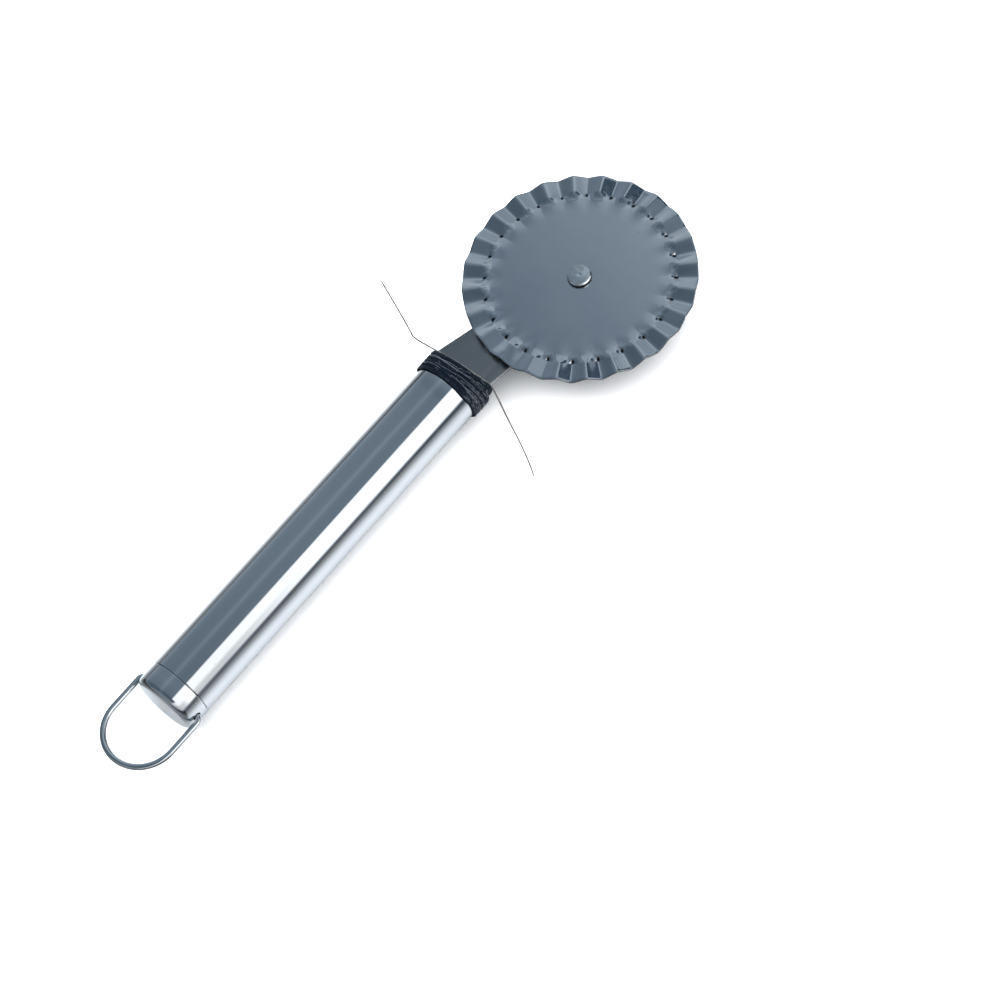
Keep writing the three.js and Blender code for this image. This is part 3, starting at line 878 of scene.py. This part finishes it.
def make_cap():
    """Collar and hollow spigot, with a hole in each side for the loop."""
    collar_end = 7 * MM
    spigot = TUBE_RADIUS - TUBE_WALL - 0.3 * MM
    bore = spigot - 1.2 * MM
    corners = [
        (cap_low.x, 0, 0),
        (cap_low.x, TUBE_RADIUS, 2 * MM),
        (collar_end, TUBE_RADIUS, 0.25 * MM),
        (collar_end, spigot, 0),
        (cap_high.x, spigot, 0.3 * MM),
        (cap_high.x, bore, 0.2 * MM),
        (5.6 * MM, bore, 0.5 * MM),
        (5.6 * MM, 0, 0),
    ]
    cap = turned("cap", corners, 192, about_x)
    pivot = Vector(joints["loop_swing"]["pos_m"])
    for side in (-1, 1):
        bpy.ops.mesh.primitive_cylinder_add(
            vertices=64, radius=1.2 * MM, depth=4 * MM,
            location=pivot + Vector((0, side * (TUBE_RADIUS - 1 * MM), 0)), rotation=(math.pi / 2, 0, 0),
        )
        drill = bpy.context.object
        hole = cap.modifiers.new("hole", "BOOLEAN")
        hole.object = drill
        hole.solver = "EXACT"
        bpy.context.view_layer.update()
        mesh = bpy.data.meshes.new_from_object(cap.evaluated_get(bpy.context.evaluated_depsgraph_get()))
        cap.modifiers.clear()
        cap.data = mesh
        bpy.data.objects.remove(drill)
    shape = bmesh.new()
    shape.from_mesh(cap.data)
    rims = [
        edge for edge in shape.edges
        if edge.calc_face_angle(0) > math.radians(50)
        and all(math.hypot(v.co.x - pivot.x, v.co.z - pivot.z) < 1.25 * MM for v in edge.verts)
        and all(abs(v.co.y) > TUBE_RADIUS - 0.4 * MM for v in edge.verts)
    ]
    bmesh.ops.bevel(shape, geom=rims, offset=0.12 * MM, segments=3, profile=0.5, affect="EDGES")
    shape.to_mesh(cap.data)
    shape.free()
    for polygon in cap.data.polygons:
        polygon.use_smooth = True
    cap.data.set_sharp_from_angle(angle=math.radians(35))
    add_piece(cap, "handle", POLISHED, "polished_steel", "tail_cap")


def make_core():
    """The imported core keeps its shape, with softened edges."""
    core = frame["nodes"]["neck_core"]
    edges = core.modifiers.new("edges", "BEVEL")
    edges.width = 0.15 * MM
    edges.segments = 2
    edges.limit_method = "ANGLE"
    edges.angle_limit = math.radians(50)
    core.data.materials.clear()
    core.data.materials.append(PLASTIC)


def make_loop():
    """Bent wire. Its hooks turn in the cap's side holes."""
    wire = 0.9 * MM
    half = loop_high.y - wire
    straight = 8 * MM
    corner = 1.6 * MM
    hook = 6.9 * MM
    pivot = Vector(joints["loop_swing"]["pos_m"])

    def bow(centre_x, centre_y, radius, start, end):
        steps = max(6, round(radius / MM * abs(end - start) * 3))
        angles = [start + (end - start) * k / steps for k in range(steps + 1)]
        return [(centre_x + radius * math.cos(a), centre_y + radius * math.sin(a), 0) for a in angles]

    quarter = math.pi / 2
    controls = [(pivot.x, hook, 0), (pivot.x, (hook + half) / 2, 0)]
    controls += bow(pivot.x - corner, half - corner, corner, 0, quarter)
    controls += bow(-straight, 0, half, quarter, 3 * quarter)
    controls += bow(pivot.x - corner, corner - half, corner, -quarter, 0)
    controls += [(pivot.x, -(hook + half) / 2, 0), (pivot.x, -hook, 0)]
    vertices, faces = sweep(catmull_rom(controls, 0.4 * MM), wire, 28)
    loop = outward(mesh_object("loop", vertices, faces, sharp=60))
    add_piece(loop, "loop", POLISHED, "polished_steel", "hang_loop")


# ---------------------------------------------------------------- cord winding
CORD_PITCH = 1.30 * MM
CORD_START = -0.45
CORD_END = 4.34
CORD_TURNS = 4.27
CORD_CENTRE = 10.02 * MM
BUNDLE_WIDTH = 0.60 * MM
BUNDLE_HEIGHT = 0.38 * MM
FILAMENTS = 10
LOOSE_FILAMENTS = 40
HAIRS = 380
CROSSING_STRANDS = 13


def winding_point(turn, lift=0.0, shift=0.0):
    """A point on the wound cord. Its turns are drawn up towards the arm on both flanks.

    The first half turn lies level under the second, and the last end is tucked in over the
    tube's mouth.
    """
    way = 2 * math.pi * turn
    drawn = np.sin(way) ** 2 * (1.55 + 0.33 * np.sin(way)) * MM
    x = cord_low.x + BUNDLE_WIDTH + np.maximum(turn - 0.12, 0) * CORD_PITCH
    x = x + 0.6 * MM * smoothstep(turn, 0.10, 0.38) * (1 - smoothstep(turn, 0.6, 1.2))
    x = x + drawn * np.clip(turn / CORD_TURNS, 0, 1) + shift
    tucked_start = 0.28 * MM * (1 - smoothstep(turn, CORD_START, CORD_START + 0.14))
    tucked_end = 1.1 * MM * smoothstep(turn, 4.20, CORD_END)
    radius = CORD_CENTRE - tucked_start - tucked_end + lift
    return np.stack([x, -radius * np.sin(way), radius * np.cos(way)], axis=-1)


def make_winding():
    """One flat cord, made of slack filaments that take turns to lie on top, a few of them paler for wear and
    as painted highlights.
    """
    draw = random.Random(11)
    turns = np.arange(CORD_START, CORD_END, 0.0045)
    wander = 0.05 * MM * np.sin(turns * 9.1) + 0.04 * MM * np.sin(turns * 23.7 + 1)
    length = turns * 2 * math.pi * CORD_CENTRE
    narrow = 0.90 + 0.10 * np.sin(length / (7 * MM) + 1.2) + 0.45 * np.sin(2 * math.pi * turns).clip(0) ** 2
    narrow = narrow * (1 - 0.4 * smoothstep(turns, 4.24, CORD_END))
    parts = []
    wear_and_highlight = []
    for k in range(FILAMENTS):
        size = (0.125 + 0.045 * draw.random()) * MM
        phase = 2 * math.pi * (k + 0.4 * draw.random()) / FILAMENTS
        pitch = (26 + 14 * draw.random()) * MM
        twist = phase + 2 * math.pi * length / pitch
        slack = 1 + 0.12 * np.sin(length / (1.7 * MM) + 6 * draw.random())
        aside = (BUNDLE_WIDTH * narrow - size) * slack * np.cos(twist)
        rise = (BUNDLE_HEIGHT - size) * slack * np.sin(twist)
        parts.append(sweep(winding_point(turns, rise, wander + aside), size, 8))
        wear_and_highlight.append(k % 4 == 1)
    for aside in (-0.2 * MM, 0.2 * MM):
        parts.append(sweep(winding_point(turns[::3], -0.05 * MM, wander[::3] + aside), 0.2 * MM, 7))
        wear_and_highlight.append(False)
    for k in range(LOOSE_FILAMENTS):
        start = draw.uniform(0.0, 3.9)
        count = draw.randrange(30, 80)
        some = np.linspace(start, min(start + count * 0.0075, 4.2), count)
        drift = draw.uniform(-0.9, 0.9) * MM * np.linspace(-0.5, 0.5, count) + draw.uniform(-0.5, 0.5) * MM
        lie = BUNDLE_HEIGHT - 0.12 * MM - 0.30 * MM * np.linspace(-1, 1, count) ** 4
        parts.append(sweep(winding_point(some, lie, drift), draw.uniform(0.07, 0.11) * MM, 6))
        wear_and_highlight.append(k % 2 == 0)
    vertices, faces = joined(parts)
    winding = mesh_object("winding", vertices, faces, sharp=80)
    # The marked filaments take the paler thread: wear and painted highlights.
    shades = [int(pale) for pale, part in zip(wear_and_highlight, parts) for face in part[1]]
    winding.data.polygons.foreach_set("material_index", shades)
    add_piece(winding, "handle", (CORD, HIGHLIT_WORN_CORD), "black_cord", "cord_winding")


def make_under_layer():
    """The first, tight layer of thread on the tube, as fine ridges."""
    low = cord_low.x + 0.3 * MM
    high = tube_high.x + 0.15 * MM
    inner = TUBE_RADIUS + 0.03 * MM
    ridges = 11
    outline = [(low, inner)]
    for k in range(ridges * 6 + 1):
        x = low + (high - low) * k / (ridges * 6)
        outline.append((x, inner + (0.12 + 0.10 * abs(math.sin(math.pi * k / 6))) * MM))
    outline.append((high, inner))
    vertices, faces = revolve(outline, 160, about_x)
    layer = outward(mesh_object("winding_under_layer", vertices, faces, sharp=60))
    add_piece(layer, "handle", CORD, "black_cord")


def make_fibres():
    """Loose hairs that stand off the cord, most of them on the -Y side, and strands across it."""
    draw = random.Random(5)
    parts = []
    top = BUNDLE_HEIGHT
    for k in range(HAIRS):
        turn = draw.uniform(0.02, 4.15)
        if k % 4:
            turn = math.floor(turn) + draw.uniform(0.14, 0.33)
        turn = min(turn, 4.15)
        aside = draw.uniform(-0.9, 0.9) * BUNDLE_WIDTH
        root, beyond = winding_point(np.array([turn, turn + 0.02]), top - 0.12 * MM, aside)
        ahead = Vector(beyond - root).normalized() * draw.choice((-1, 1))
        out = Vector((0, root[1], root[2])).normalized()
        side = ahead.cross(out)
        reach = draw.uniform(0.5, 2.2) * MM
        lift = draw.uniform(0.05, 0.36)
        sway = draw.uniform(-0.35, 0.35)
        line = []
        for i in range(9):
            t = i / 8
            bend = out * reach * lift * t ** 1.6
            drift = side * reach * sway * t * t
            line.append(Vector(root) + ahead * reach * t + bend + drift)
        parts.append(sweep(line, np.linspace(0.034, 0.014, 9) * MM, 5))
    for k in range(CROSSING_STRANDS):
        start = draw.uniform(0.1, 3.7)
        turns = np.linspace(start, start + draw.uniform(0.15, 0.5), 40)
        drift = draw.uniform(-1.2, 1.2) * MM * np.linspace(-0.5, 0.5, 40)
        wave = 0.12 * MM * np.sin(np.linspace(0, 9, 40) + k)
        lie = top + 0.02 * MM - 0.25 * MM * np.linspace(-1, 1, 40) ** 4
        parts.append(sweep(winding_point(turns, lie, drift + wave), draw.uniform(0.03, 0.045) * MM, 6))
    vertices, faces = joined(parts)
    fibres = mesh_object("winding_fibres", vertices, faces, sharp=80)
    add_piece(fibres, "handle", FIBRE, "black_cord")


# ---------------------------------------------------------------- tie wire
WIRE_ROUTE = [
    (-32.3, 38.8), (-36.1, 29.6), (-40.2, 20.2), (-41, 18.4), (-40.7, 11), (-40.2, 5), (-40, -2),
    (-40.3, -9.4), (-41.7, -12.7), (-45.3, -19.7), (-49.7, -28.6), (-53.1, -34.6), (-55.3, -37.9),
]


def make_wire():
    """Thin wire across the arm, with its ends cut at a slant."""
    radius = (wire_high.z - wire_low.z) / 2
    height = (wire_high.z + wire_low.z) / 2
    controls = [(HUB.x + x * MM, y * MM, height) for x, y in WIRE_ROUTE]
    line = catmull_rom(controls, 0.5 * MM)
    count = len(line)
    radii = [radius * min(1, 0.35 + 0.65 * min(i, count - 1 - i) / 5) for i in range(count)]
    vertices, faces = sweep(line, radii, 16)
    wire = outward(mesh_object("wire", vertices, faces, sharp=60))
    add_piece(wire, "handle", WIRE, "wire_steel", "tie_wire")


make_camera()
make_world()
make_floor()
make_flag()
make_carpet()
make_lamp("key", (0.32, -0.70, 0.64), 2.2, 1.5, 1.0, 12)
make_lamp("top", (0.0, 0.05, 1.0), 2.0, 2.8, 2.8, 150)
make_wheel()
make_rivet()
make_washer("spacer", "spacer_washer", spacer_low.z, spacer_high.z, 4.5 * MM)
make_washer("washer", "rear_washer", washer_low.z, washer_high.z, 4.2 * MM)
make_arm()
make_tube()
make_cap()
make_core()
make_loop()
make_winding()
make_under_layer()
make_fibres()
make_wire()

scene.view_settings.view_transform = "Standard"
